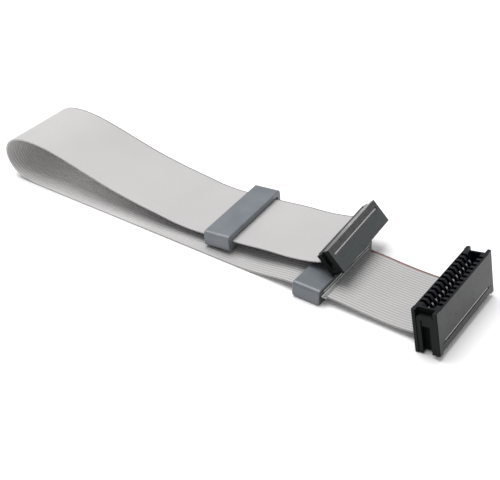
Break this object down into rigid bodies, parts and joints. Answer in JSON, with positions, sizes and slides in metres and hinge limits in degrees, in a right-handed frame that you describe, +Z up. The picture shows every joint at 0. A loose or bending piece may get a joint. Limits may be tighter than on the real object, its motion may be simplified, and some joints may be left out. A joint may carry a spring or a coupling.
{
  "type": "ribbon cable",
  "caption": "Flat ribbon cable folded back in a loop, with a card-edge socket at its lower end, a smaller pin socket at its upper end and ferrite cores on its runs.",
  "frame": {"origin": "centre of the lower ferrite core's underside, on the surface that the cable lies on", "axes": "+X along the lower run towards the card-edge socket, +Y across the ribbon, +Z up"},
  "size_m": [0.2011, 0.049, 0.0195],
  "materials": {
    "insulation": "satin",
    "ferrite": "satin",
    "band": "gloss",
    "edge_plastic": "satin",
    "pin_plastic": "satin",
    "contact": "bright"
  },
  "bodies": {
    "root": {"ribbon": "insulation", "core_lower": "ferrite", "core_upper": "ferrite", "core_band": "band", "edge_body": "edge_plastic", "edge_cover": "edge_plastic", "edge_contacts_front": "contact", "edge_contacts_rear": "contact", "pin_body": "pin_plastic", "pin_cover": "pin_plastic", "pin_contacts_front": "contact", "pin_contacts_rear": "contact"}
  },
  "joints": []
}
